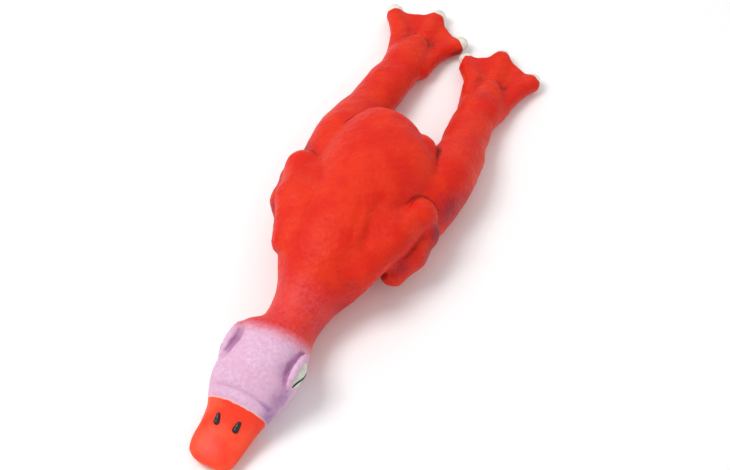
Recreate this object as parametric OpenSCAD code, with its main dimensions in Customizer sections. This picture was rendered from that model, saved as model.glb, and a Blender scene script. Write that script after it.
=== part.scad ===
// Squeaky rubber toy: a plucked bird lying on its belly, moulded hollow in latex rubber,
// with a push-in squeaker under the belly. Bill towards -Y, feet towards +Y, resting on Z = 0.

/* [Trunk] */
// Width of the trunk at its widest, without the wings
body_w = 65; // [50:1:80]
// Height of the trunk at its highest
body_h = 49; // [40:1:60]
// Width of the neck at its thinnest
neck_w = 29; // [22:1:36]
// Width of the head across the cheeks
head_w = 39; // [32:1:50]
// Width of the bill where it meets the face
bill_w = 29; // [22:1:36]
// Thickness of the moulded rubber wall
wall = 2; // [1.4:0.1:3]

/* [Legs] */
// Distance of each leg's axis from the middle
leg_x = 29; // [26:0.5:34]
// Thickness of the leg at the hip
hip_w = 30; // [24:1:34]
// Thickness of the leg at the ankle
ankle_w = 19; // [12:1:22]
// How much longer the right leg was moulded than the left
right_extra = 11; // [0:1:14]
// Length of a foot from the ankle to the middle claw
foot_l = 46; // [36:1:54]
// Width of a foot across its outer toes
foot_w = 46; // [30:1:50]
// Turn of the left foot towards the middle, in degrees
left_toe_in = 6; // [0:1:12]
// Turn of the right foot towards the middle, in degrees
right_toe_in = 1; // [0:1:12]

/* [Wings] */
// Radius of the upper arm
arm_r = 9; // [6:0.5:12]
// Radius of the folded forearm
forearm_r = 6.4; // [5:0.2:9]
// Gap between a wing and the trunk behind it
wing_gap = 0.8; // [0.4:0.1:1.5]

/* [Squeaker] */
// Outer radius of the rubber collar that grips the squeaker
collar_r = 14; // [12:0.5:16]
// Radius of the squeaker's body, and of the collar's hole
cup_r = 10.5; // [8:0.5:12]
// Height of the rubber collar
collar_h = 8; // [6:0.5:10]
// Thickness of the reed strip
reed_t = 0.25; // [0.1:0.05:0.4]

/* [Output] */
// The sub-part to draw

/* [Hidden] */

red = [0.91, 0.20, 0.13];
lilac = [0.87, 0.72, 0.86];
bill_red = [0.97, 0.25, 0.13];
horn = [0.93, 0.91, 0.86];
white_plastic = [0.93, 0.93, 0.91];

// Planes where one zone of the moulding ends and the next begins
bill_y = -120;
neck_top_y = [-80, -70];
neck_base_y = [-60, -50];
hip_y = [48, 60.5];
knee_y = [70, 79];
ankle_y = [91, 100];

bw = body_w / 2;
bh = body_h / 2;
hw = head_w / 2;
nw = neck_w / 2;
iw = bill_w / 2;

// Trunk outline: y, x, height of the centre, half width, rise above it, drop below it
trunk = [
    [-148, 0, 5.5, 4.5, 1.2, 1.8],
    [-146.9, 0, 5.6, 8, 2.1, 2.8],
    [-144, 0, 6, 11.2, 3, 3.8],
    [-137, 0, 7.2, iw - 1.7, 4.2, 5],
    [-130, 0, 9, iw - 1.9, 5.8, 6.6],
    [-122, 0, 11.4, iw - 0.4, 8.6, 8.8],
    [-117, 0, 13.2, iw + 1.2, 11.4, 10.8],
    [-110, 0, 16, hw - 1.6, 15.2, 14],
    [-102, 0, 18, hw, 17.4, 16.4],
    [-93, 0, 18.5, hw, 17.6, 17.2],
    [-84, 0, 17.9, hw - 1.5, 16.6, 16.4],
    [-76, 0, 16.8, nw + 1.2, 15, 15.2],
    [-68, 0, 16.2, nw - 0.2, 14.2, 14.4],
    [-60, 0, 16.8, nw + 1, 15.2, 14.6],
    [-50, 0, 18.8, nw + 4, 18.2, 15.8],
    [-38, 0, 21.4, bw - 8.8, 22, 17.6],
    [-20, 0, 23.2, bw - 3, bh + 0.4, 21.8],
    [4, 0, 23.4, bw - 0.4, bh + 1.1, 24.4],
    [26, 0, 24.2, bw, bh, 24.6],
    [42, 0, 25.8, bw - 1.8, bh - 2.6, 22.8],
    [52, -2, 28, bw - 6, bh - 6.5, 17.5],
    [57.5, -3.5, 30, bw - 12.5, bh - 11, 13],
    [61.5, -4, 31, 7, 5, 4.5]];

// Left leg outline, the same columns; the right leg is its mirror, longer past the knee
leg = [
    [-4, 24, 15, 7, 8, 11],
    [12, leg_x, 16, hip_w / 2 - 1.5, 14.2, 15],
    [28, leg_x + 0.6, 17, hip_w / 2, 16.2, 16.2],
    [46, leg_x + 0.6, 17, hip_w / 2, 16.4, 16],
    [58, leg_x + 0.4, 15.6, hip_w / 2 - 1, 14.6, 14.6],
    [68, leg_x, 14, hip_w / 2 - 2.2, 12.8, 13],
    [76, leg_x - 0.8, 12.8, hip_w / 2 - 3.2, 11.6, 11.8],
    [84, leg_x - 1.6, 11.8, ankle_w / 2 + 1.2, 10.6, 10.8],
    [92, leg_x - 2.2, 10.9, ankle_w / 2 + 0.2, 9.4, 9.9],
    [100, leg_x - 2.4, 10.4, ankle_w / 2 - 0.4, 8.6, 9.2],
    [108, leg_x - 2.4, 10, ankle_w / 2 - 0.8, 7, 8.4]];

function leg_table(extra) = [for (r = leg) [r[0] + (r[0] > 80 ? extra : 0), r[1], r[2], r[3], r[4], r[5]]];

// Smooth curve through column k of a table at y
function span(t, y, i = 0) = i >= len(t) - 2 || y < t[i + 1][0] ? i : span(t, y, i + 1);
function slope(t, i, k) =
    let (a = max(i - 1, 0), b = min(i + 1, len(t) - 1)) (t[b][k] - t[a][k]) / (t[b][0] - t[a][0]);
function at(t, y, k) =
    let (i = span(t, y), h = t[i + 1][0] - t[i][0], u = (y - t[i][0]) / h)
    (2 * u * u * u - 3 * u * u + 1) * t[i][k] + (u * u * u - 2 * u * u + u) * h * slope(t, i, k)
    + (3 * u * u - 2 * u * u * u) * t[i + 1][k] + (u * u * u - u * u) * h * slope(t, i + 1, k);

// Ring of points across the outline at y, shrunk by g, and flattened where it rests
function ring(t, y, g, n) =
    let (x = at(t, y, 1), z = at(t, y, 2), w = at(t, y, 3) - g, up = at(t, y, 4) - g, dn = at(t, y, 5) - g)
    [for (i = [0:n - 1]) let (a = 360 * i / n)
        [x + w * cos(a), y, max(g, z + (sin(a) > 0 ? up : dn) * sin(a))]];
function steps(a, b, m) = [for (i = [0:m]) a + (b - a) * i / m];

module band(a, b) {
    n = len(a);
    hull() polyhedron(concat(a, b), concat(
        [[for (i = [0:n - 1]) i]], [[for (i = [n - 1:-1:0]) n + i]],
        [for (i = [0:n - 1]) [i, n + i, n + (i + 1) % n, (i + 1) % n]]));
}

module loft(t, ys, g = 0, n = 20) {
    for (i = [0:len(ys) - 2]) band(ring(t, ys[i], g, n), ring(t, ys[i + 1], g, n));
}

// Open rubber tube between two planes
module sleeve(t, y0, y1, m = 4, n = 16) {
    difference() {
        loft(t, steps(y0, y1, m), 0, n);
        loft(t, steps(y0 - 0.4, y1 + 0.4, m), wall, n);
    }
}

module ball(p, r, fn = 14) { translate(p) sphere(r, $fn = fn); }
module limb(p, r, q, s, fn = 10) { hull() { ball(p, r, fn); ball(q, s, fn); } }
module pair(side) { if (side < 0) mirror([1, 0, 0]) children(); else children(); }
module egg(p, r, tilt = 0, fn = 14) { translate(p) rotate([tilt, 0, 0]) scale(r) sphere(1, $fn = fn); }

// ---- Trunk ----
torso_ys = [-50, -44, -38, -30, -20, -8, 6, 20, 32, 42, 49, 54, 57.5, 60, 61.5];
hollow_ys = [-50.4, -44, -36, -24, -8, 10, 28, 40, 49, 54, 57, 59.2];

module trunk_solid(g = 0) { loft(trunk, g > 0 ? hollow_ys : torso_ys, g); }
module hip_solid(g = 0, y1 = hip_y[0]) {
    loft(leg, concat([-4, 4, 12, 24, 36], [y1 + (g > 0 ? 0.4 : 0)]), g, 16);
}

module torso_skin() {
    color(red) difference() {
        union() {
            trunk_solid();
            for (s = [-1, 1]) pair(s) hip_solid();
        }
        trunk_solid(wall);
        for (s = [-1, 1]) pair(s) hip_solid(wall);
        translate([0, 0, -1]) cylinder(r = collar_r + 0.02, h = 8, $fn = 96);
    }
}

module neck_base_skin() { color(red) sleeve(trunk, neck_base_y[0], neck_base_y[1], 4, 20); }
module neck_skin() { color(red) sleeve(trunk, neck_top_y[1], neck_base_y[0], 4, 20); }
module neck_top_skin() { color(lilac) sleeve(trunk, neck_top_y[0], neck_top_y[1], 4, 20); }

// ---- Head ----
eye_p = [18.3, -96.5, 24];
eye_r = [3.6, 7.8, 4.4];
module head_hollow() { loft(trunk, steps(bill_y - 0.4, neck_top_y[0] + 0.4, 6), wall, 18); }

// Fold of rubber that hoods the eye
module eyelid() {
    for (i = [0:3]) {
        a = 20 + 40 * i;
        b = a + 40;
        limb([18.2, -96 - 8.6 * cos(a), 23.8 + 4.6 * sin(a)], 1.6 + 1.5 * sin(a),
            [18.2, -96 - 8.6 * cos(b), 23.8 + 4.6 * sin(b)], 1.6 + 1.5 * sin(b), 10);
    }
}
module eye_solid() { egg(eye_p, eye_r, 8); }

// Dark line painted along the middle of the eye
module pupil() {
    for (i = [0:7]) {
        a = 25 + 16.25 * i;
        b = a + 16.25;
        limb([eye_p[0] + 3.3 * sin(a), eye_p[1] - 7.4 * cos(a), eye_p[2] - 1.1 * cos(a)], 0.35 + 0.5 * sin(a),
            [eye_p[0] + 3.3 * sin(b), eye_p[1] - 7.4 * cos(b), eye_p[2] - 1.1 * cos(b)], 0.35 + 0.5 * sin(b), 8);
    }
}
module eye(side) {
    color(horn) pair(side) difference() {
        eye_solid();
        head_hollow();
        pupil();
    }
}
module nostril_solid() {
    hull() {
        ball([4.4, -130.4, 13.9], 1.3, 12);
        ball([5.4, -126, 15.6], 0.6, 12);
    }
}

module head_skin() {
    color(lilac) difference() {
        union() {
            loft(trunk, steps(bill_y, neck_top_y[0], 9));
            for (s = [-1, 1]) pair(s) eyelid();
        }
        head_hollow();
        for (s = [-1, 1]) pair(s) { eye_solid(); pupil(); }
    }
}

module bill() {
    color(bill_red) difference() {
        loft(trunk, [-148, -146.9, -144, -140, -134, -127, bill_y]);
        loft(trunk, [-145.8, -144, -140, -134, -127, bill_y + 0.4], 1.2, 16);
        for (s = [-1, 1]) pair(s) nostril_solid();
    }
}

// ---- Wings ----
shoulder = [21.5, -32, 29.5];
upper_arm = [28.5, -8, 31.5];
elbow = [33.5, 12.5, 29];
elbow_low = [37.8, 9, 20.5];
forearm = [38, -3, 15.5];
wrist = [32.5, -17, 12.4];

module wing_solid(g = 0) {
    limb(shoulder, arm_r - 1 - g, upper_arm, arm_r - g);
    limb(upper_arm, arm_r - g, elbow, arm_r - 0.6 - g);
    limb(elbow, arm_r - 0.6 - g, elbow_low, forearm_r - g);
    limb(elbow_low, forearm_r - g, forearm, forearm_r - g);
    limb(forearm, forearm_r - g, wrist, forearm_r - 0.4 - g);
    limb([26, -13, 24], 6 - g, [30, -9, 16], 5 - g);
    limb([30, -9, 16], 5 - g, forearm, forearm_r - 0.4 - g);
}
module wing(side) {
    color(red) pair(side) difference() {
        wing_solid();
        wing_solid(wall);
        trunk_solid(-wing_gap);
        hip_solid(-wing_gap);
        translate([0, -60, 39]) cube([60, 120, 20]);
    }
}
// Strip of rubber that joins the upper arm to the back, and bends when the wing lifts
module wing_seam(side) {
    color(red) pair(side) difference() {
        intersection() {
            wing_solid();
            trunk_solid(-wing_gap);
            translate([10, -60, 33]) cube([30, 120, 6]);
        }
        trunk_solid();
        hip_solid();
    }
}

// ---- Legs ----
function mid_toe(k) = [toe_tips[k][0] * 0.62, toe_tips[k][1] * 0.6 + 2, 6.2];
function extra(side) = side < 0 ? right_extra : 0;

module hip_skin(side) {
    color(red) difference() {
        pair(side) sleeve(leg, hip_y[0], hip_y[1]);
        trunk_solid();
    }
}
module thigh_skin(side) { color(red) pair(side) sleeve(leg, hip_y[1], knee_y[0]); }
module knee_skin(side) { color(red) pair(side) sleeve(leg_table(extra(side)), knee_y[0], knee_y[1]); }
module shank_skin(side) {
    color(red) pair(side) sleeve(leg_table(extra(side)), knee_y[1], ankle_y[0] + extra(side));
}
module ankle_skin(side) {
    color(red) pair(side)
        sleeve(leg_table(extra(side)), ankle_y[0] + extra(side), ankle_y[1] + extra(side));
}

// Toe tips from the middle of the ankle: inner, middle, outer
toe_tips = [[3 - foot_w / 2, foot_l - 11], [-1, foot_l - 3.6], [foot_w / 2 - 2, foot_l - 7.5]];

module foot_frame(side) {
    pair(side) translate([leg_x - 2.4, ankle_y[1] + extra(side), 0])
        rotate(side < 0 ? right_toe_in : left_toe_in) children();
}
module claw_solids() {
    for (t = toe_tips)
        let (d = atan2(t[0], t[1] + 14))
        translate([t[0], t[1], 4.6]) rotate(-d) scale([3.6, 4.2, 2.6]) sphere(1, $fn = 10);
}
module foot(side) {
    t = leg_table(extra(side));
    y0 = ankle_y[1] + extra(side);
    color(red) difference() {
        union() {
            pair(side) loft(t, [y0, y0 + 3, y0 + 6], 0, 16);
            foot_frame(side) {
                limb([0, 5, 10.4], 7, [-1, 15, 11], 5.4);
                limb([2, 5, 5], 4.4, [2.5, 11, 4.2], 3.4);
                for (k = [0:2]) {
                    limb([-4 + 4 * k, 5, 7.4], 5, mid_toe(k), 4.6);
                    limb(mid_toe(k), 4.6, [toe_tips[k][0], toe_tips[k][1] - 2, 5], 3.8);
                }
                for (k = [0:1])
                    let (a = toe_tips[k], b = toe_tips[k + 1], c = (a + b) / 2 - [0, 5])
                    translate([0, 0, 3.4]) linear_extrude(3.4)
                        polygon([[0, 4], [a[0], a[1] - 2], (a + c) / 2 - [0, 1.2], c, (b + c) / 2 - [0, 1.2],
                            [b[0], b[1] - 2]]);
            }
        }
        foot_frame(side) claw_solids();
    }
}
module claws(side) { color(horn) foot_frame(side) claw_solids(); }

// ---- Squeaker ----
module squeaker_collar() {
    color(red) rotate_extrude($fn = 96)
        polygon([[cup_r, 0], [collar_r - 0.6, 0], [collar_r, 0.6], [collar_r, collar_h - 1],
            [collar_r - 1, collar_h], [cup_r, collar_h]]);
}
module squeaker_cup() {
    color(white_plastic) rotate_extrude($fn = 96)
        polygon([[2.6, 0.8], [cup_r - 0.5, 0.8], [cup_r, 1.3], [cup_r, 9.5], [cup_r - 1.6, 9.5],
            [cup_r - 1.6, 2.6], [4.2, 2.6], [4.2, 5.5], [2.6, 5.5]]);
}
// Lid with air holes, pressed into the cup's rim
module squeaker_cap() {
    color(white_plastic) difference() {
        rotate_extrude($fn = 96)
            polygon([[0, 16.6], [cup_r - 3.2, 16.6], [cup_r - 3.2, 7], [cup_r - 1.6, 7],
                [cup_r - 1.6, 17.2], [cup_r - 2.6, 18.2], [0, 18.2]]);
        for (a = [0:60:300]) rotate(a) translate([4.6, 0, 15]) cylinder(r = 1, h = 5, $fn = 24);
    }
}
// Half-round channel that the reed beats on
module squeaker_shallot() {
    color(white_plastic) difference() {
        translate([0, 0, 1.2]) cylinder(r = 2.58, h = 13.8, $fn = 48);
        translate([-5, 0.6, 5.5]) cube([10, 5, 12]);
        translate([-0.9, -0.9, 3]) cube([1.8, 4, 9.5]);
        cylinder(r = 0.9, h = 4, $fn = 32);
    }
}
module squeaker_reed() {
    color([0.83, 0.68, 0.36]) translate([-1.6, 0.66, 6]) rotate([-2, 0, 0]) cube([3.2, reed_t, 8]);
}

torso_skin();
squeaker_collar();
squeaker_cup();
squeaker_cap();
squeaker_shallot();
squeaker_reed();
neck_base_skin();
neck_skin();
neck_top_skin();
head_skin();
bill();
color([0.07, 0.05, 0.05]) nostril_solid();  // left_nostril
color([0.07, 0.05, 0.05]) pair(-1) nostril_solid();  // right_nostril
eye(1);  // left_eye
eye(-1);  // right_eye
color([0.1, 0.2, 0.15]) pupil();  // left_pupil
color([0.1, 0.2, 0.15]) pair(-1) pupil();  // right_pupil
wing(1);  // left_wing
wing(-1);  // right_wing
wing_seam(1);  // left_wing_seam
wing_seam(-1);  // right_wing_seam
hip_skin(1);  // left_hip_skin
hip_skin(-1);  // right_hip_skin
thigh_skin(1);  // left_thigh_skin
thigh_skin(-1);  // right_thigh_skin
knee_skin(1);  // left_knee_skin
knee_skin(-1);  // right_knee_skin
shank_skin(1);  // left_shank_skin
shank_skin(-1);  // right_shank_skin
ankle_skin(1);  // left_ankle_skin
ankle_skin(-1);  // right_ankle_skin
foot(1);  // left_foot
foot(-1);  // right_foot
claws(1);  // left_claws
claws(-1);  // right_claws
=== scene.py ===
"""Looks of the squeaky rubber bird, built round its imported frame. Shapes are worked out in mm."""

import math

import bpy
import numpy as np
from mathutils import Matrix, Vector


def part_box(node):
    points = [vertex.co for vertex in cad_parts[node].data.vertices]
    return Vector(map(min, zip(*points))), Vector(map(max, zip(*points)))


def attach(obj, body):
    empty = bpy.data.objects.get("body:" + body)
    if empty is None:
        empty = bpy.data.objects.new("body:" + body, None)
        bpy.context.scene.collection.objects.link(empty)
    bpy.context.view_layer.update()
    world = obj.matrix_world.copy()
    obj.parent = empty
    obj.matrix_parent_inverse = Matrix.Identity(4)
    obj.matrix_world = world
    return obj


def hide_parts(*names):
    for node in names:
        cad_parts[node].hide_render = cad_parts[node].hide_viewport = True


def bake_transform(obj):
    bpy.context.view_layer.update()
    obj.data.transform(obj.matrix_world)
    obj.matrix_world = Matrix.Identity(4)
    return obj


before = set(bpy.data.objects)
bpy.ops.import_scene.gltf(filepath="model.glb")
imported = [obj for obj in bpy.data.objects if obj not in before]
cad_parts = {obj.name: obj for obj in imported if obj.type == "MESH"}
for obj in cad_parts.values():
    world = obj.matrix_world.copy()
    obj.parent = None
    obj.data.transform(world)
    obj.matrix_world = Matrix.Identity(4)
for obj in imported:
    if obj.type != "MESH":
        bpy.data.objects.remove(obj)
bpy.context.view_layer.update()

MM = 0.001
STEP = 0.8  # between the points of the sculpting grid
FINE = 0.3  # the same for claws
FINEST = FINE * 0.8  # the same for eyes and nostrils
SLOPE_STEP = 0.06  # reach of the differences that give a field's slope
WALL = 1.2  # thickness of the rubber skin
THINNEST = 0.1  # a wing's skin where it runs out on the back
NECK_MARGIN = 1.2  # twice a sleeve's margin, which turns it round: the neck's sleeves run forward
SIDES = {"left": 1, "right": -1}


def span_y(node):
    """Lowest and highest y of a CAD node, in mm."""
    low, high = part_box(node)
    return low.y / MM, high.y / MM


BILL_Y = span_y("bill")[1]
NECK_TOP = span_y("neck_top_skin")
NECK_BASE = span_y("neck_base_skin")
HIP = span_y("left_hip_skin")
KNEE = span_y("left_knee_skin")
ANKLE = span_y("left_ankle_skin")
LONGER = {"left": 0, "right": span_y("right_ankle_skin")[0] - ANKLE[0]}
COLLAR_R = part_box("squeaker_collar")[1].x / MM
COLLAR_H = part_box("squeaker_collar")[1].z / MM

# ---------------------------------------------------------------- shapes


def smooth(low, high, value):
    """0 below low, 1 above high, and an S curve between."""
    t = np.clip((value - low) / (high - low), 0, 1)
    return t * t * (3 - 2 * t)


def join(a, b, k):
    """Union of two shapes, with a fillet about k wide."""
    h = np.maximum(k - np.abs(a - b), 0) / np.maximum(k, 1e-6)
    return np.minimum(a, b) - h * h * k / 4


def meet(a, b, k):
    """Intersection of two shapes, with a rounded edge about k wide."""
    return -join(-a, -b, k)


def turned(p, centre, tilt=0.0, turn=0.0):
    """Points as seen from a frame at centre, turned about Z and then tilted about X, in degrees."""
    q = p - np.array(centre, np.float32)
    c, s = math.cos(math.radians(turn)), math.sin(math.radians(turn))
    x, y = q[..., 0] * c + q[..., 1] * s, -q[..., 0] * s + q[..., 1] * c
    c, s = math.cos(math.radians(tilt)), math.sin(math.radians(tilt))
    return np.stack([x, y * c + q[..., 2] * s, -y * s + q[..., 2] * c], -1)


def egg(p, centre, radii, tilt=0.0, turn=0.0):
    q = turned(p, centre, tilt, turn)
    r = np.array(radii, np.float32)
    near = np.linalg.norm(q / r, axis=-1)
    slope = np.linalg.norm(q / (r * r), axis=-1)
    return near * (near - 1) / np.maximum(slope, 1e-6)


def limb(p, a, ra, b, rb):
    """Rounded cone from a to b."""
    a, b = np.array(a, np.float32), np.array(b, np.float32)
    line = b - a
    q = p - a
    t = np.clip(q @ line / (line @ line), 0, 1)
    return np.linalg.norm(q - t[..., None] * line, axis=-1) - (ra + (rb - ra) * t)


def chain(p, points, k=0.0):
    """Limbs through (point, radius) pairs."""
    d = limb(p, *points[0], *points[1])
    for one, two in zip(points[1:], points[2:]):
        d = join(d, limb(p, *one, *two), k)
    return d


def near_line(p, a, b, width):
    """1 on the line from a to b, fading to 0 about twice width away."""
    d = limb(p, a, 0, b, 0) / width
    return np.exp(-d * d)


def near_path(p, points, width):
    """The same along a path."""
    return np.max([near_line(p, a, b, width) for a, b in zip(points, points[1:])], 0)


def curve(table, column, y):
    """Smooth value of a column of an outline table at y."""
    t = np.array(table, float)
    x, v = t[:, 0], t[:, column]
    slope = np.empty_like(v)
    slope[1:-1] = (v[2:] - v[:-2]) / (x[2:] - x[:-2])
    slope[0], slope[-1] = (v[1] - v[0]) / (x[1] - x[0]), (v[-1] - v[-2]) / (x[-1] - x[-2])
    y = np.clip(y, x[0], x[-1])
    i = np.clip(np.searchsorted(x, y, "right") - 1, 0, len(x) - 2)
    h = x[i + 1] - x[i]
    u = (y - x[i]) / h
    return (
        (2 * u**3 - 3 * u**2 + 1) * v[i] + (u**3 - 2 * u**2 + u) * h * slope[i]
        + (3 * u**2 - 2 * u**3) * v[i + 1] + (u**3 - u**2) * h * slope[i + 1]
    )


def along(p, table, end):
    """Solid whose outline the table gives: y, x, height, half width, rise, drop. end rounds its ends."""
    y = p[..., 1]
    ys = np.arange(table[0][0], table[-1][0] + 0.25, 0.25)
    cols = [np.interp(y, ys, curve(table, c, ys)).astype(np.float32) for c in range(1, 6)]
    x, z = p[..., 0] - cols[0], p[..., 2] - cols[1]
    high = np.where(z > 0, cols[3], cols[4])
    far = np.sqrt(x * x + z * z) + 1e-6
    tube = far - 1 / np.sqrt((x / far / cols[2]) ** 2 + (z / far / high) ** 2)
    return meet(tube, np.maximum(table[0][0] - y, y - table[-1][0]), end)


# ---------------------------------------------------------------- the bird

# Rows of y, x, height of the centre, half width, rise above it, drop below it
TRUNK = [
    (-147.4, -2, 5.5, 5, 1.2, 1.8), (-146.2, -2, 5.6, 8.6, 2.1, 2.8), (-143.4, -2.4, 6, 11.6, 3, 3.8),
    (-137, -2.5, 7.2, 13, 4.2, 5), (-130, -1.8, 9, 13.4, 5.8, 6.6), (-122, -1.4, 11.4, 14.6, 8.6, 8.8),
    (-117, -1.6, 13.2, 16.6, 11.4, 10.8), (-110, -1.4, 16, 19, 15.2, 14), (-102, -0.8, 18, 20.2, 17.4, 16.4),
    (-93, -0.2, 18.5, 19.8, 17.6, 17.2), (-84, -0.2, 17.9, 18.1, 16.6, 16.4), (-76, 0, 16.8, 15.6, 15, 15.2),
    (-68, 0, 16.2, 13.8, 14, 14.4), (-60, 0.2, 16.8, 14.1, 15, 14.6), (-50, 0.2, 18.8, 16.8, 18.2, 15.8),
    (-38, 0, 21.4, 22.9, 22, 17.6), (-20, -0.5, 23.2, 27.8, 24.9, 21.8), (4, -0.2, 23.4, 29.6, 25.6, 24.4),
    (26, 0, 24.2, 31, 24.5, 24.6), (42, -0.7, 25.6, 29, 21.7, 22.8), (51, -4.6, 27.6, 20.8, 17.8, 17.5),
    (56.5, -5.6, 29.4, 15.4, 13.3, 13), (60.5, -5.2, 30.4, 7, 5, 4.5),
]
LEG = [
    (-4, 24, 15, 7, 8, 11), (12, 27.8, 16, 12.2, 14.2, 15), (28, 29, 17, 14.4, 16.2, 16.2),
    (46, 29.6, 17, 15, 16.4, 16), (58, 29.4, 15.6, 14, 14.6, 14.6), (68, 29, 14, 12.8, 12.8, 13),
    (76, 28.2, 12.8, 12.2, 11.6, 11.8), (84, 27.2, 11.8, 11.7, 10.6, 10.8), (92, 26.2, 10.9, 11.2, 9.6, 9.9),
    (100, 25.8, 10.4, 10.8, 8.8, 9.2), (107, 25.8, 10, 9.6, 7.6, 8.4), (113, 26, 9.6, 6.6, 5.4, 6.6),
]
LONGER_FROM = 80  # y past which the right leg's rows move back
LEG_IN = {"left": 1.4, "right": 0}  # how far the shank lies towards the middle
LEG_IN_FROM = 70  # y past which it does
ANKLE_X = 26.6
TOE_IN = {"left": 6, "right": 1}  # degrees that the foot turns inward
TOE_TIPS = {  # inner, middle, outer, from the ankle
    "left": [(-21.3, 35), (-3.5, 44.6), (17.5, 34)],
    "right": [(-19, 30), (-0.5, 42), (21.5, 34.5)],
}
CLAW_OUT = {"left": 1.0, "right": 1.05}  # how far out from the ankle the claws sit, in toe lengths
CLAW_R = {"left": (4.1, 4.1, 3.9), "right": (4.4, 4.4, 4)}
CLAW_Z = 5.9
CLAW_FROM = 14  # the claws point away from a point this far up the shank from the ankle
WEB_FROM = 20  # the webs spread from a point this far up the shank from the ankle
WEB_Z, WEB_HALF, WEB_HOLLOW = 5.6, 2.6, 1.7  # height, half thickness, how far the edge curves in

ACROSS = (-14, -12, -8, -4, 0, 4, 8, 12, 14)  # x of the points of the fold behind the bill
RIDGE_Y, FOLD_Y = -117.7, -114.9
NOSTRIL = [(5, -128.8, 1.75), (5.2, -127.5, 1.4), (5.5, -126, 1.15)]  # x, y, radius
BILL_ASIDE = 1.6  # the nostrils' middle lies this far to the bird's right
NOSTRIL_SUNK = 0.3  # the share of their radius that they lie below the surface
PUPIL = [  # the dark line on the eye: y and z from its middle, and the line's radius
    (-7.1, 0.9, 0.35), (-6, 1.7, 0.5), (-4.4, 1.9, 0.55), (-2.6, 1.3, 0.55), (-0.8, 0.3, 0.5),
    (1, -0.8, 0.45), (2.8, -1.8, 0.4),
]
EYE, EYE_R, EYE_TILT = (17.9, -94.3, 24.6), (3.7, 8.0, 4.5), 8
SHOULDER = (20.5, -32, 29.5)
UPPER_ARM = {"left": (26, -8, 31.8), "right": (28.6, -8, 31)}
ELBOW = {"left": (31.2, 11.5, 29.8), "right": (35.4, 12.5, 28.5)}
ELBOW_LOW = {"left": (35.4, 7, 22.5), "right": (37.2, 8, 22)}
FOREARM = {"left": (33.8, -5, 20), "right": (35.2, -4, 19.5)}
WRIST = {"left": (30.4, -15.5, 14.4), "right": (28.8, -15, 15)}


def mirrored(p, side):
    return p * np.array([SIDES[side], 1, 1], np.float32)


def folded(p):
    """Both sides of the bird brought onto its left side."""
    return np.concatenate([np.abs(p[..., :1]), p[..., 1:]], -1)


def leg_table(side):
    """LEG with the side's own length and lean."""
    rows = []
    for y, x, *rest in LEG:
        back = LONGER[side] if y > LONGER_FROM else 0
        inward = LEG_IN[side] if y > LEG_IN_FROM else 0
        rows.append((y + back, x - inward, *rest))
    return rows


def relief(p):
    """Slow uneven swells of the hand-sculpted master, none on the smooth bill."""
    x, y, z = p[..., 0], p[..., 1], p[..., 2]
    broad = np.sin(0.29 * x + 1.1 * np.sin(0.17 * y) + 0.21 * z) * np.sin(0.33 * y - 0.24 * z + 1.3)
    small = np.sin(0.83 * x - 0.37 * y + 2 * np.sin(0.31 * z)) * np.sin(0.71 * y + 0.53 * z + 0.4)
    return (0.14 * broad + 0.07 * small) * smooth(-124, -112, y)


def foot_and_shank_end(p, side):
    """The foot past the ankle (heel bump, three toes, webs between), and the rounded end of the shank."""
    q = turned(mirrored(p, side), (ANKLE_X, ANKLE[1] + LONGER[side], 0), turn=TOE_IN[side])
    toes = None
    for k, (x, y) in enumerate(TOE_TIPS[side]):
        mid = (0.62 * x, 0.6 * y + 2, 6.2)
        toe = chain(q, [((-9.5 + 7 * k, 3, 7.4), 5.4), (mid, 4.5), ((x, y - 2, 5.6), 4.4)], 1)
        toes = toe if toes is None else join(toes, toe, 3.5)
    reach = np.hypot(q[..., 0], q[..., 1] + WEB_FROM)
    angle = np.arctan2(q[..., 0], q[..., 1] + WEB_FROM)
    at = [math.atan2(x, y + WEB_FROM) for x, y in TOE_TIPS[side]]
    far = [math.hypot(x, y + WEB_FROM) + 0.5 for x, y in TOE_TIPS[side]]
    hang = np.abs(np.sin(math.pi * np.interp(angle, at, [0, 1, 2])))
    edge = reach - np.interp(angle, at, far) + WEB_HOLLOW * hang
    side_edge = np.maximum(at[0] - angle, angle - at[2]) * reach
    web = meet(meet(np.abs(q[..., 2] - WEB_Z) - WEB_HALF, edge, 2), side_edge, 2)
    foot = join(toes, web, 4)
    if side == "left":
        heel = limb(q, (4, 1, 5), 4.4, (6.5, 5, 4.2), 3.6)
        instep = egg(q, (-1, 9.5, 6.7), (11.5, 10.5, 5.8))
    else:
        heel = limb(q, (-8, 5, 5), 4.4, (-9, 10, 4.2), 3.8)
        instep = egg(q, (0.5, 9.5, 6.7), (11.5, 10.5, 5.8))
    foot = join(join(foot, heel, 1.2), instep, 4)
    shank_end = limb(q, (0, 2, 10.2), 7.6, (-1, 15.5, 11), 5.2)
    return foot, shank_end


def leg_alone(p, side):
    """One whole leg with its foot."""
    tube = along(mirrored(p, side), leg_table(side), 1)
    y_foot = ANKLE[1] + LONGER[side]
    foot, shank_end = foot_and_shank_end(p, side)
    tube = join(tube, shank_end, 7)
    # crease across the top of the ankle
    ends = (ANKLE_X - 14, y_foot - 9, 17), (ANKLE_X + 14, y_foot - 5, 17)
    crease = near_line(mirrored(p, side), *ends, 1.3)
    return join(tube + 0.35 * crease, foot, 3.2)


def leg(p, side):
    return leg_alone(p, side) - relief(p)


def eyelid(q):
    """Fold of rubber that hoods the left eye, thickest in the middle."""
    ring = []
    for a in range(10, 191, 20):
        c, s = math.cos(math.radians(a)), math.sin(math.radians(a))
        ring.append(((18 - 0.3 * s, EYE[1] + 0.5 - 9.4 * c, EYE[2] + 5.2 * s), 0.9 + 1.1 * max(s, 0)))
    return chain(q, ring, 0.6)


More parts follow.
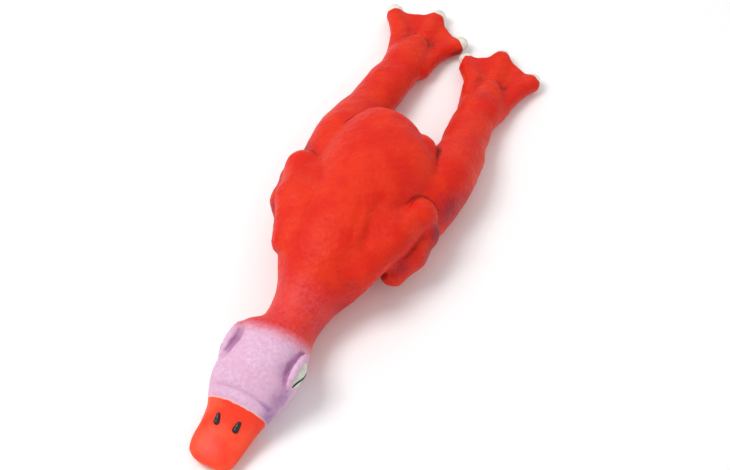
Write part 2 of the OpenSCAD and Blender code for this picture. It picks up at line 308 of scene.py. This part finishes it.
def trunk_alone(p):
    """Bill, head, neck and trunk, without limbs."""
    q = folded(p)
    d = along(p, TRUNK, 1.4)
    # the back of the head bulges on the right, where the eyelid stands out further too
    d = join(d, egg(p, (-12, -84, 20), (8.8, 9, 12)), 5)
    on_right = np.where(p[..., :1] < 0, 1, 0)
    right_lid = np.array([0.8, 1.2, 0.3], np.float32)
    d = join(d, eyelid(q - on_right * right_lid), np.where(p[..., 0] < 0, 2.6, 1.0))
    # swellings beside the left hip
    d = join(d, egg(p, (14.6, 48.5, 30), (8.5, 7.5, 9), turn=-20), 1.6)
    d = join(d, egg(p, (19.5, 41.5, 26), (7, 7.5, 9)), 4)
    # ridge and fold behind the bill, and the groove along each eyelid
    d = d - 0.6 * near_path(p, RIDGE, 1.8)
    d = d + 0.7 * near_path(p, FOLD, 1.3)
    d = d + 0.45 * near_line(q, (14.2, -101, 29.4), (13.4, -86, 30.4), 2.2)
    # groove beside the left upper arm, a second one inboard of it, and one beside the right upper arm
    d = d + 1.0 * near_path(p, [(15, 2, 45), (14.5, -6, 45.6), (17.6, -19, 42.6), (20, -30, 36)], 3)
    d = d + 0.5 * near_path(p, [(8.5, -8, 47.8), (10.5, -18, 46.2), (12, -26, 43.4)], 2)
    d = d + 0.9 * near_path(p, [(-21.5, 6, 42.5), (-19.5, -16, 41.4), (-16, -31, 39)], 3.2)
    return meet(d, -p[..., 2], 2.5)


def on_top(x, y):
    """Height of the head's or bill's upper surface."""
    z = np.linspace(60, 0, 1201, dtype=np.float32)
    column = np.stack([np.full_like(z, x), np.full_like(z, y), z], -1)
    return float(z[np.argmax(along(column, TRUNK, 1.4) < 0)])


RIDGE = [(x, RIDGE_Y, on_top(x, RIDGE_Y)) for x in ACROSS]
FOLD = [(x, FOLD_Y, on_top(x, FOLD_Y)) for x in ACROSS]


def thigh_stump(p):
    return along(folded(p), LEG, 1)


def body(p):
    """The trunk with the tops of the legs, and the hole for the squeaker."""
    y = p[..., 1]
    thighs = meet(thigh_stump(p), y - HIP[0] - 2, 0.4)
    d = join(trunk_alone(p), thighs, 0.3 + 4.5 * smooth(HIP[0] - 2, HIP[0] - 20, y))
    d = d - relief(p)
    hole = np.maximum(np.hypot(p[..., 0], y) - COLLAR_R, p[..., 2] - COLLAR_H)
    return np.maximum(d, -hole)


def wing_alone(p, side):
    q = mirrored(p, side)
    elbow, low, middle, wrist = (part[side] for part in (ELBOW, ELBOW_LOW, FOREARM, WRIST))
    arm = chain(q, [(SHOULDER, 8), (UPPER_ARM[side], 9), (elbow, 8.6)], 5)
    bend = limb(q, elbow, 8.4, low, 8)
    fore = chain(q, [(low, 8), (middle, 8), (wrist, 7)], 5)
    web = chain(q, [((25, -15, 24), 7), ((29, -8, 19.5), 8), (middle, 7.5)], 3)
    return join(join(arm, bend, 2), join(fore, web, 3), 1.2)


def winged(p, side):
    """The body with one wing, which runs into the back along the upper arm and lies on the flank."""
    reach = 14 if side == "left" else 26  # y at which the fillet has faded out
    fillet = 0.8 + 7 * smooth(28, 36, p[..., 2]) * smooth(reach, reach - 20, p[..., 1])
    return join(wing_alone(p, side) - relief(p), body(p), fillet)


# ---------------------------------------------------------------- meshes


def slopes(field, v):
    """Value and gradient of a field at points."""
    f = field(v)
    ahead = [field(v + np.eye(3, dtype=np.float32)[i] * SLOPE_STEP) for i in range(3)]
    return f, np.stack([(each - f) / SLOPE_STEP for each in ahead], -1)


def surface(field, low, high, step=STEP):
    """Points, normals and quads of a field's zero surface in a box, on a grid that surfaces share."""
    # the field at the grid's points
    start = np.floor(np.array(low) / step)
    count = (np.ceil(np.array(high) / step) - start).astype(int) + 1
    axes = [(start[i] + np.arange(count[i])) * step for i in range(3)]
    f = np.empty(count, np.float32)
    for i in range(0, count[0], 16):
        grid = np.meshgrid(axes[0][i : i + 16], axes[1], axes[2], indexing="ij")
        f[i : i + 16] = field(np.stack(grid, -1).astype(np.float32))
    # one point in each cell that the surface crosses, at the mean of its crossings
    inside = f < 0
    corners = [(a, b, c) for a in (0, 1) for b in (0, 1) for c in (0, 1)]
    part = [slice(0, -1), slice(1, None)]
    total = sum(inside[part[a], part[b], part[c]].astype(np.int8) for a, b, c in corners)
    cells = np.argwhere((total > 0) & (total < 8))
    value = {k: f[tuple((cells + k).T)] for k in corners}
    place, hits = np.zeros((len(cells), 3)), np.zeros(len(cells))
    for k in corners:
        for axis in range(3):
            if k[axis]:
                continue
            m = tuple(k[i] + (i == axis) for i in range(3))
            a, b = value[k], value[m]
            crossed = (a < 0) != (b < 0)
            t = np.where(crossed, a / np.where(crossed, a - b, 1), 0)
            point = np.tile(np.array(k, float), (len(cells), 1))
            point[:, axis] = t
            place[crossed] += point[crossed]
            hits[crossed] += 1
    v = ((cells + place / hits[:, None] + start) * step).astype(np.float32)
    number = np.full(np.array(count) - 1, -1, np.int64)
    number[tuple(cells.T)] = np.arange(len(cells))
    # one quad round each edge that the surface crosses
    quads = []
    for axis in range(3):
        one, two = [(1, 2), (2, 0), (0, 1)][axis]
        lower = [slice(1, -1)] * 3
        upper = [slice(1, -1)] * 3
        lower[axis], upper[axis] = slice(0, -1), slice(1, None)
        a, b = inside[tuple(lower)], inside[tuple(upper)]
        at = np.argwhere(a != b)
        base = at + 1
        base[:, axis] -= 1
        leaving = a[tuple(at.T)]
        ring = []
        for d_one, d_two in ((1, 1), (0, 1), (0, 0), (1, 0)):
            cell = base.copy()
            cell[:, one] -= d_one
            cell[:, two] -= d_two
            ring.append(number[tuple(cell.T)])
        ring = np.stack(ring, -1)
        ring[~leaving] = ring[~leaving][:, ::-1]
        quads.append(ring)
    quads = np.concatenate(quads)
    # the points brought onto the surface
    for _ in range(3):
        d, g = slopes(field, v)
        move = d[:, None] * g / np.maximum((g * g).sum(-1), 0.25)[:, None]
        v = v - np.clip(move, -step / 2, step / 2)
    g = slopes(field, v)[1]
    n = g / np.maximum(np.linalg.norm(g, axis=-1), 1e-6)[:, None]
    return v, n, quads


def middles(made):
    """Middle of each face."""
    return made[0][made[2]].mean(1)


def part_of(made, keep):
    """Some of a surface's faces, with only their own points."""
    v, n, quads = made
    quads = quads[keep]
    used, where = np.unique(quads, return_inverse=True)
    return v[used], n[used], where.reshape(quads.shape)


def shell(made, thick):
    """Closed skin of a thickness under an open surface."""
    v, n, quads = made
    m = len(v)
    inner = v - n * np.broadcast_to(thick, (m,))[:, None]
    edges = np.concatenate([quads[:, [i, (i + 1) % 4]] for i in range(4)])
    key, back = edges[:, 0] * m + edges[:, 1], edges[:, 1] * m + edges[:, 0]
    rim = edges[~np.isin(key, back)]
    rim = np.stack([rim[:, 1], rim[:, 0], rim[:, 0] + m, rim[:, 1] + m], -1)
    faces = np.concatenate([quads, quads[:, ::-1] + m, rim])
    return np.concatenate([v, inner]), np.concatenate([n, -n]), faces


def flipped(made):
    """The same surface facing the other way."""
    return made[0], -made[1], made[2][:, ::-1]


def together(*parts):
    """Several surfaces as one."""
    base, v, n, quads = 0, [], [], []
    for a, b, c in parts:
        v.append(a), n.append(b), quads.append(c + base)
        base += len(a)
    return np.concatenate(v), np.concatenate(n), np.concatenate(quads)


# ---------------------------------------------------------------- paint

PURPLE_TINT_AND_SHADE = [  # where the airbrush left a purplish tint, partly painted shade in hollows and on sides away from the light: place, reach, strength
    ((-41, 16, 22), 9, 0.8), ((-43, 2, 18), 9, 0.6), ((-38, -16, 20), 10, 0.5), ((-38, 26, 20), 8, 0.9),
    ((42, 9, 26), 6, 0.9), ((44, -2, 18), 7, 0.8), ((34, -16, 22), 7, 0.5), ((38, 26, 22), 9, 0.8),
    ((42, 40, 14), 10, 0.5), ((22, -48, 18), 9, 0.5), ((15, -62, 14), 9, 0.35), ((-17, -52, 16), 8, 0.3),
    ((12, -98, 31), 5, 0.4), ((16, -108, 22), 7, 0.6), ((-19, -88, 24), 7, 0.4), ((14, -118, 15), 6, 0.7),
    ((24, 104, 18), 6, 0.4), ((-20, 88, 10), 8, 0.4), ((30, 92, 19), 5, 0.3),
]


def recess(field, v, n):
    """How deep in a crease each point lies, from 0 to 1, which sets the painted shade there."""
    out = 0
    for d in (2.0, 4.5):
        out = out + np.clip(1 - field(v + n * d) / d, 0, 1) / 2
    return np.clip(out * 1.9, 0, 1)


def whole(p):
    """The complete bird, used for its creases."""
    d = body(p)
    for side in SIDES:
        d = np.minimum(np.minimum(d, leg(p, side)), wing_alone(p, side))
    return d


def painted(v, n):
    """Paint values at points: lilac, purplish airbrush tint with painted shade, depth in the creases for
    painted shade, and how far inside the bill's paint line, in mm.
    """
    x, y, z = v[:, 0], v[:, 1], v[:, 2]
    edge = -80 + 0.12 * x - 2.5 * smooth(18, 30, z)
    lilac = np.maximum(smooth(10, -9, y - edge), 0.16 * smooth(-40, -58, y))
    purple_and_shade = 0
    for at, reach, strength in PURPLE_TINT_AND_SHADE:
        d = np.linalg.norm(v - np.array(at), axis=-1) / reach
        purple_and_shade = purple_and_shade + strength * np.exp(-d * d)
    # a purplish line of painted shade along the fold behind the bill
    purple_and_shade = purple_and_shade + 0.42 * near_path(v, FOLD, 1.0)
    line = BILL_Y + 0.7 - 0.5 * smooth(12, 21, z)
    # deep sets the painted shade in the creases
    return {"lilac": lilac, "purple_and_shade": np.clip(purple_and_shade, 0, 1), "deep": recess(whole, v, n), "bill": line - y}


def srgb(*rgb):
    """Blender's linear colour for sRGB values from 0 to 255."""
    return tuple((c / 255 / 12.92) if c < 11 else ((c / 255 + 0.055) / 1.055) ** 2.4 for c in rgb) + (1,)


class Paint:
    """A node material, built up node by node."""

    def __init__(self, name, **fixed):
        self.material = bpy.data.materials.new(name)
        self.material.use_nodes = True
        self.nodes, self.links = self.material.node_tree.nodes, self.material.node_tree.links
        self.shader = self.nodes["Principled BSDF"]
        for key, value in fixed.items():
            self.shader.inputs[key.replace("_", " ")].default_value = value

    def put(self, socket, value):
        if isinstance(value, bpy.types.NodeSocket):
            self.links.new(value, socket)
        else:
            socket.default_value = value

    def node(self, kind, out=0, settings=(), **inputs):
        node = self.nodes.new("ShaderNode" + kind)
        for key, value in dict(settings).items():
            setattr(node, key, value)
        for key, value in inputs.items():
            self.put(node.inputs[int(key[1:]) if key[0] == "i" and key[1:].isdigit() else key], value)
        return node.outputs[out]

    def value(self, name):
        return self.node("Attribute", "Fac", {"attribute_name": name})

    def place(self):
        return self.node("Attribute", "Vector", {"attribute_name": "rest"})

    def noise(self, where, scale, detail=3, rough=0.55):
        return self.node("TexNoise", 0, Vector=where, Scale=scale, Detail=detail, Roughness=rough)

    def spread(self, value, low, high, to_low=0, to_high=1):
        """value brought from low..high to another range along an S curve."""
        node = self.nodes.new("ShaderNodeMapRange")
        node.interpolation_type = "SMOOTHSTEP"
        for socket, v in zip(node.inputs, (value, low, high, to_low, to_high)):
            self.put(socket, v)
        return node.outputs[0]

    def math(self, operation, a, b, clamp=True):
        return self.node("Math", 0, {"operation": operation, "use_clamp": clamp}, i0=a, i1=b)

    def mix(self, share, a, b):
        return self.node("Mix", 2, {"data_type": "RGBA"}, i0=share, i6=a, i7=b)

    def mix_values(self, share, a, b):
        return self.node("Mix", 0, {"data_type": "FLOAT"}, i0=share, i2=a, i3=b)

    def bump(self, height, strength, distance):
        normal = self.node("Bump", 0, Strength=strength, Distance=distance, Height=height)
        self.links.new(normal, self.shader.inputs["Normal"])

    def colour(self, value):
        self.put(self.shader.inputs["Base Color"], value)

    def rough(self, value):
        self.put(self.shader.inputs["Roughness"], value)


def skin_paint(name):
    """Painted latex: red, fading to lilac on the head, a purplish airbrush tint that is partly painted shade
    in the recesses, darker painted shade deep in the creases, with the bill masked off.
    """
    m = Paint(name, Subsurface_Weight=0.06, Subsurface_Radius=(1.0, 0.35, 0.2), Subsurface_Scale=0.002,
              Specular_IOR_Level=0.22)
    at = m.place()
    blotch, grain, fleck = m.noise(at, 0.07, 3), m.noise(at, 0.55, 5, 0.65), m.noise(at, 1.6, 3)
    deep, purple_and_shade = m.value("deep"), m.value("purple_and_shade")
    red = m.mix(m.spread(blotch, 0.35, 0.65), srgb(219, 29, 5), srgb(228, 46, 9))
    red = m.mix(m.spread(grain, 0.45, 0.8, 0, 0.3), red, srgb(196, 24, 16))
    red = m.mix(m.spread(fleck, 0.64, 0.78, 0, 0.2), red, srgb(240, 96, 66))
    lilac = m.mix(m.spread(grain, 0.3, 0.7), srgb(216, 168, 200), srgb(230, 192, 216))
    lilac = m.mix(m.spread(blotch, 0.42, 0.62, 0, 0.45), lilac, srgb(224, 170, 196))
    lilac = m.mix(m.spread(fleck, 0.3, 0.5, 0.22, 0), lilac, srgb(178, 120, 168))
    # the spray edge breaks up along the grain
    edge = m.math("ADD", m.value("lilac"), m.spread(grain, 0.3, 0.7, -0.05, 0.05))
    lilac_share = m.spread(edge, 0.02, 1)
    colour = m.mix(lilac_share, red, lilac)
    # purplish airbrush tint, partly painted shade, broken up along the grain
    misty_purple_and_shade = m.math("ADD", purple_and_shade, m.spread(grain, 0.3, 0.7, -0.12, 0.12))
    purple_and_shade_share = m.math("MULTIPLY", m.spread(misty_purple_and_shade, 0.05, 0.9), 0.8)
    colour = m.mix(purple_and_shade_share, colour, m.mix(lilac_share, srgb(128, 22, 50), srgb(146, 96, 158)))
    # painted shade: the skin darkens deep in the creases
    crease = m.mix(lilac_share, srgb(120, 10, 14), srgb(150, 84, 140))
    colour = m.mix(m.spread(deep, 0.15, 1, 0, 0.7), colour, crease)
    # bill, with the pale line where its mask ended
    wave = m.spread(m.noise(at, 0.16, 2), 0.3, 0.7, -0.22, 0.22)
    wander = m.math("ADD", m.value("bill"), wave, clamp=False)
    bill_share = m.spread(wander, -0.12, 0.12)
    bill = m.mix(m.spread(blotch, 0.35, 0.65), srgb(246, 62, 36), srgb(250, 84, 54))
    # painted shade: the bill darkens deep in its creases
    bill = m.mix(m.spread(deep, 0.2, 1, 0, 0.6), bill, srgb(176, 22, 18))
    colour = m.mix(bill_share, colour, bill)
    line = m.math("MULTIPLY", m.spread(wander, -0.75, -0.2), m.spread(wander, 0.3, -0.05))
    colour = m.mix(m.math("MULTIPLY", line, 0.5), colour, srgb(248, 196, 176))
    m.colour(colour)
    dull = m.spread(grain, 0.3, 0.7, 0.4, 0.54)
    gloss = m.spread(m.noise(at, 0.3, 3), 0.3, 0.7, 0.3, 0.4)
    m.rough(m.mix_values(bill_share, dull, gloss))
    pimples = m.node("TexVoronoi", "Distance", {"feature": "SMOOTH_F1"}, Vector=at, Scale=0.52)
    height = m.mix_values(0.45, grain, pimples)
    m.bump(m.mix_values(m.math("MULTIPLY", bill_share, 0.92), height, 0.5), 0.8, 0.0008)
    return m.material


def glossy_paint(name, main, other, rough):
    """Brushed-on enamel for eyes, nostrils and claws."""
    m = Paint(name, Specular_IOR_Level=0.5)
    at = m.place()
    patch = m.noise(at, 0.35, 4, 0.6)
    m.colour(m.mix(m.spread(patch, 0.35, 0.7), main, other))
    m.rough(m.spread(m.noise(at, 0.9, 3), 0.3, 0.7, rough - 0.05, rough + 0.08))
    m.bump(m.noise(at, 1.1, 3), 0.35, 0.0004)
    return m.material


def part_paint(name, main, other, rough, **fixed):
    """Moulded plastic, rubber or rolled metal of the squeaker."""
    m = Paint(name, **fixed)
    at = m.node("TexCoord", "Object")
    scaled = m.node("VectorMath", 0, {"operation": "SCALE"}, i0=at, Scale=1000)
    m.colour(m.mix(m.spread(m.noise(scaled, 0.25, 4), 0.35, 0.7), main, other))
    m.rough(m.spread(m.noise(scaled, 1.2, 3), 0.3, 0.7, rough - 0.06, rough + 0.08))
    m.bump(m.noise(scaled, 2.2, 4), 0.3, 0.0002)
    return m.material


SKIN = {s: skin_paint(s) for s in ("red_rubber", "lilac_rubber", "bill_paint")}
EYE_PAINT = glossy_paint("eye_paint", srgb(206, 212, 194), srgb(232, 232, 220), 0.3)
PUPIL_PAINT = glossy_paint("pupil_paint", srgb(18, 44, 34), srgb(30, 62, 50), 0.28)
NOSTRIL_PAINT = glossy_paint("nostril_paint", srgb(12, 12, 14), srgb(34, 30, 34), 0.25)
CLAW_PAINT = glossy_paint("claw_paint", srgb(240, 237, 226), srgb(216, 208, 192), 0.42)
PLASTIC = part_paint("squeaker_plastic", srgb(236, 236, 230), srgb(224, 225, 218), 0.38)
BRASS = part_paint("reed_brass", srgb(196, 158, 84), srgb(168, 128, 60), 0.32, Metallic=1.0)
COLLAR = part_paint("collar_rubber", srgb(224, 42, 24), srgb(198, 30, 20), 0.5)

# ---------------------------------------------------------------- pieces


def piece(name, made, material, slot, *nodes, paint=False):
    """A mesh object of one part, which stands for its CAD nodes."""
    v, n, quads = made
    mesh = bpy.data.meshes.new(name)
    mesh.from_pydata((v * MM).tolist(), [], quads.tolist())
    mesh.polygons.foreach_set("use_smooth", np.ones(len(quads), bool))
    mesh.normals_split_custom_set_from_vertices(n.tolist())
    rest = mesh.attributes.new("rest", "FLOAT_VECTOR", "POINT")
    rest.data.foreach_set("vector", v.astype(np.float32).ravel())
    if paint:
        for key, value in painted(v, n).items():
            spot = mesh.attributes.new(key, "FLOAT", "POINT")
            spot.data.foreach_set("value", value.astype(np.float32))
    mesh.materials.append(material)
    made_object = bpy.data.objects.new(name, mesh)
    bpy.context.scene.collection.objects.link(made_object)
    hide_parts(*nodes)
    return made_object


def skin(name, made, slot, *nodes):
    """A piece of the painted rubber skin."""
    return piece(name, shell(made, WALL), SKIN[slot], slot, *nodes, paint=True)


def bend(thing, a, b, start, end, margin=0.6):
    """Bakes a piece of skin's placement into its mesh."""
    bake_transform(thing)


BODY = surface(body, (-48, -151, -2), (48, 65, 52))
mid = middles(BODY)
y = mid[:, 1]
trunk_part = y > NECK_BASE[1]
under_legs = (y > HIP[0]) & (thigh_stump(mid) < trunk_alone(mid))
in_hole = (np.hypot(mid[:, 0], y) < COLLAR_R - 0.5) & (mid[:, 2] < COLLAR_H + 1)
torso = skin("torso_latex", part_of(BODY, trunk_part & ~under_legs & ~in_hole), "red_rubber", "torso_skin")
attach(torso, "torso")
neck_base = skin("neck_base_latex", part_of(BODY, (y <= NECK_BASE[1]) & (y > NECK_BASE[0])), "red_rubber",
                 "neck_base_skin")
bend(neck_base, "torso", "neck", NECK_BASE[1] - NECK_MARGIN, NECK_BASE[0] + NECK_MARGIN)
neck = skin("neck_latex", part_of(BODY, (y <= NECK_BASE[0]) & (y > NECK_TOP[1])), "red_rubber", "neck_skin")
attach(neck, "neck")
neck_top = skin("neck_top_latex", part_of(BODY, (y <= NECK_TOP[1]) & (y > NECK_TOP[0])), "lilac_rubber",
                "neck_top_skin")
bend(neck_top, "neck", "head", NECK_TOP[1] - NECK_MARGIN, NECK_TOP[0] + NECK_MARGIN)
head = skin("head_latex", part_of(BODY, (y <= NECK_TOP[0]) & (y > BILL_Y)), "lilac_rubber", "head_skin")
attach(head, "head")
bill = skin("bill_latex", part_of(BODY, y <= BILL_Y), "bill_paint", "bill")
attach(bill, "head")

for side, sign in SIDES.items():

    def reach_box(x0, x1, y0, y1, z0, z1):
        low, high = sorted((x0 * sign, x1 * sign))
        return (low, y0, z0), (high, y1, z1)

    # wing: its outer skin, and an inner one that faces the flank
    made = surface(lambda p: winged(p, side), *reach_box(6, 50, -46, 26, 3, 48))
    outer = part_of(made, body(middles(made)) > 0.03)
    proud = body(outer[0])
    outer = shell(outer, np.clip(proud * 0.8, THINNEST, WALL))
    behind = part_of(BODY, wing_alone(mid, side) < -0.4)
    deep = -wing_alone(behind[0], side)
    lifted = (behind[0] + 0.3 * behind[1], behind[1], behind[2])
    inner = shell(flipped(lifted), np.clip(0.6 * deep - 0.1, THINNEST, 0.8))
    wing = piece(f"{side}_wing_latex", together(outer, inner), SKIN["red_rubber"], "red_rubber",
                 f"{side}_wing", f"{side}_wing_seam", paint=True)
    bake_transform(wing)

    # leg, from under the rump to the toes
    longer = LONGER[side]
    made = surface(lambda p: leg(p, side), *reach_box(1, 56, HIP[0] - 4, ANKLE[1] + longer + 50, -1, 36))
    leg_y = middles(made)[:, 1]
    for name, a, b, (start, end) in (
        ("hip", "torso", f"{side}_thigh", HIP),
        ("knee", f"{side}_thigh", f"{side}_shank", KNEE),
        ("ankle", f"{side}_shank", f"{side}_foot", (ANKLE[0] + longer, ANKLE[1] + longer)),
    ):
        band = skin(f"{side}_{name}_latex", part_of(made, (leg_y > start) & (leg_y <= end)), "red_rubber",
                    f"{side}_{name}_skin")
        bend(band, a, b, start, end)
    for name, start, end in (
        ("thigh", HIP[1], KNEE[0]),
        ("shank", KNEE[1], ANKLE[0] + longer),
    ):
        tube = skin(f"{side}_{name}_latex", part_of(made, (leg_y > start) & (leg_y <= end)), "red_rubber",
                    f"{side}_{name}_skin")
        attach(tube, f"{side}_{name}")
    foot = skin(f"{side}_foot_latex", part_of(made, leg_y > ANKLE[1] + longer), "red_rubber", f"{side}_foot")
    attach(foot, f"{side}_foot")

    def claws(p):
        q = turned(mirrored(p, side), (ANKLE_X, ANKLE[1] + longer, 0), turn=TOE_IN[side])
        d = []
        for x, y in TOE_TIPS[side]:
            place = (x * CLAW_OUT[side], y + WEB_FROM * (CLAW_OUT[side] - 1), CLAW_Z)
            away = -math.degrees(math.atan2(x, y + CLAW_FROM))
            d.append(egg(q, place, CLAW_R[side], turn=away))
        return np.minimum(np.minimum(d[0], d[1]), d[2])

    low, high = (np.array(c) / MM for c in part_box(f"{side}_claws"))
    claw = piece(f"{side}_claw_tips", surface(claws, low - 8, high + 8, FINE), CLAW_PAINT, "claw_paint",
                 f"{side}_claws")
    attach(claw, f"{side}_foot")

    # eye, the dark line along it, and the nostril
    def eye(p):
        return egg(mirrored(p, side), EYE, EYE_R, EYE_TILT)

    def pupil(p):
        line = []
        for y, z, size in PUPIL:
            x = EYE_R[0] * math.sqrt(1 - (y / EYE_R[1]) ** 2 - (z / EYE_R[2]) ** 2)
            c, s = math.cos(math.radians(EYE_TILT)), math.sin(math.radians(EYE_TILT))
            line.append(((EYE[0] + x, EYE[1] + y * c - z * s, EYE[2] + y * s + z * c), size))
        return chain(mirrored(p, side), line)

    def nostril(p):
        blobs = []
        for x, y, size in NOSTRIL:
            top = on_top(sign * x - BILL_ASIDE, y)
            blobs.append(((x - BILL_ASIDE * sign, y, top - NOSTRIL_SUNK * size), size))
        return chain(mirrored(p, side), blobs, 0.4)

    for name, field, material, slot in (
        ("eye", eye, EYE_PAINT, "eye_paint"),
        ("pupil", pupil, PUPIL_PAINT, "pupil_paint"),
        ("nostril", nostril, NOSTRIL_PAINT, "nostril_paint"),
    ):
        low, high = (np.array(c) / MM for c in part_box(f"{side}_{name}"))
        thing = piece(f"{side}_{name}_paint", surface(field, low - 4, high + 4, FINEST), material, slot,
                      f"{side}_{name}")
        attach(thing, "head")

for name, material in (
    ("squeaker_collar", COLLAR), ("squeaker_cup", PLASTIC), ("squeaker_cap", PLASTIC),
    ("squeaker_shallot", PLASTIC), ("squeaker_reed", BRASS),
):
    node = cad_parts[name]
    if not node.material_slots:
        node.data.materials.append(material)
    for each in node.material_slots:
        each.material = material

# ---------------------------------------------------------------- camera, light and floor


def looking(thing, place, target):
    thing.location = place
    thing.rotation_euler = (Vector(target) - Vector(place)).to_track_quat("-Z", "Y").to_euler()
    bpy.context.scene.collection.objects.link(thing)


AZIMUTH, ELEVATION, DISTANCE = math.radians(27), math.radians(55), 0.9
TARGET = Vector((0, 0, 0.02))
PICTURE_WIDTH = 730  # of the photograph, in pixels
level = math.cos(ELEVATION)
back = Vector((math.sin(AZIMUTH) * level, -math.cos(AZIMUTH) * level, math.sin(ELEVATION)))
camera = bpy.data.cameras.new("camera")
camera.lens, camera.sensor_width = 87.9, 36
camera.shift_x, camera.shift_y = 11.5 / PICTURE_WIDTH, -14.4 / PICTURE_WIDTH
camera.clip_start, camera.clip_end = 0.05, 20
eye_point = bpy.data.objects.new("camera", camera)
looking(eye_point, TARGET + back * DISTANCE, TARGET)
bpy.context.scene.camera = eye_point

for name, place, size, power in (
    ("key", (-0.45, -0.25, 1.0), 0.5, 7),
    ("fill", (0.9, -0.7, 0.8), 0.9, 1),
    ("rim", (-0.2, 1.1, 0.7), 0.8, 1.5),
):
    lamp = bpy.data.lights.new(name, "AREA")
    lamp.size, lamp.energy = size, power
    looking(bpy.data.objects.new(name, lamp), place, TARGET)

world = bpy.data.worlds.new("studio")
world.use_nodes = True
world.node_tree.nodes["Background"].inputs["Color"].default_value = (1, 1, 1, 1)
world.node_tree.nodes["Background"].inputs["Strength"].default_value = 0.6
bpy.context.scene.world = world
bpy.context.scene.view_settings.view_transform = "Standard"

FLOOR = 30  # half its side, in metres
floor_mesh = bpy.data.meshes.new("floor")
corners = [(-FLOOR, -FLOOR, 0), (FLOOR, -FLOOR, 0), (FLOOR, FLOOR, 0), (-FLOOR, FLOOR, 0)]
floor_mesh.from_pydata(corners, [], [(0, 1, 2, 3)])
floor = bpy.data.objects.new("floor", floor_mesh)
floor_mesh.materials.append(Paint("floor", Roughness=0.9, Base_Color=(0.97, 0.97, 0.97, 1)).material)
bpy.context.scene.collection.objects.link(floor)
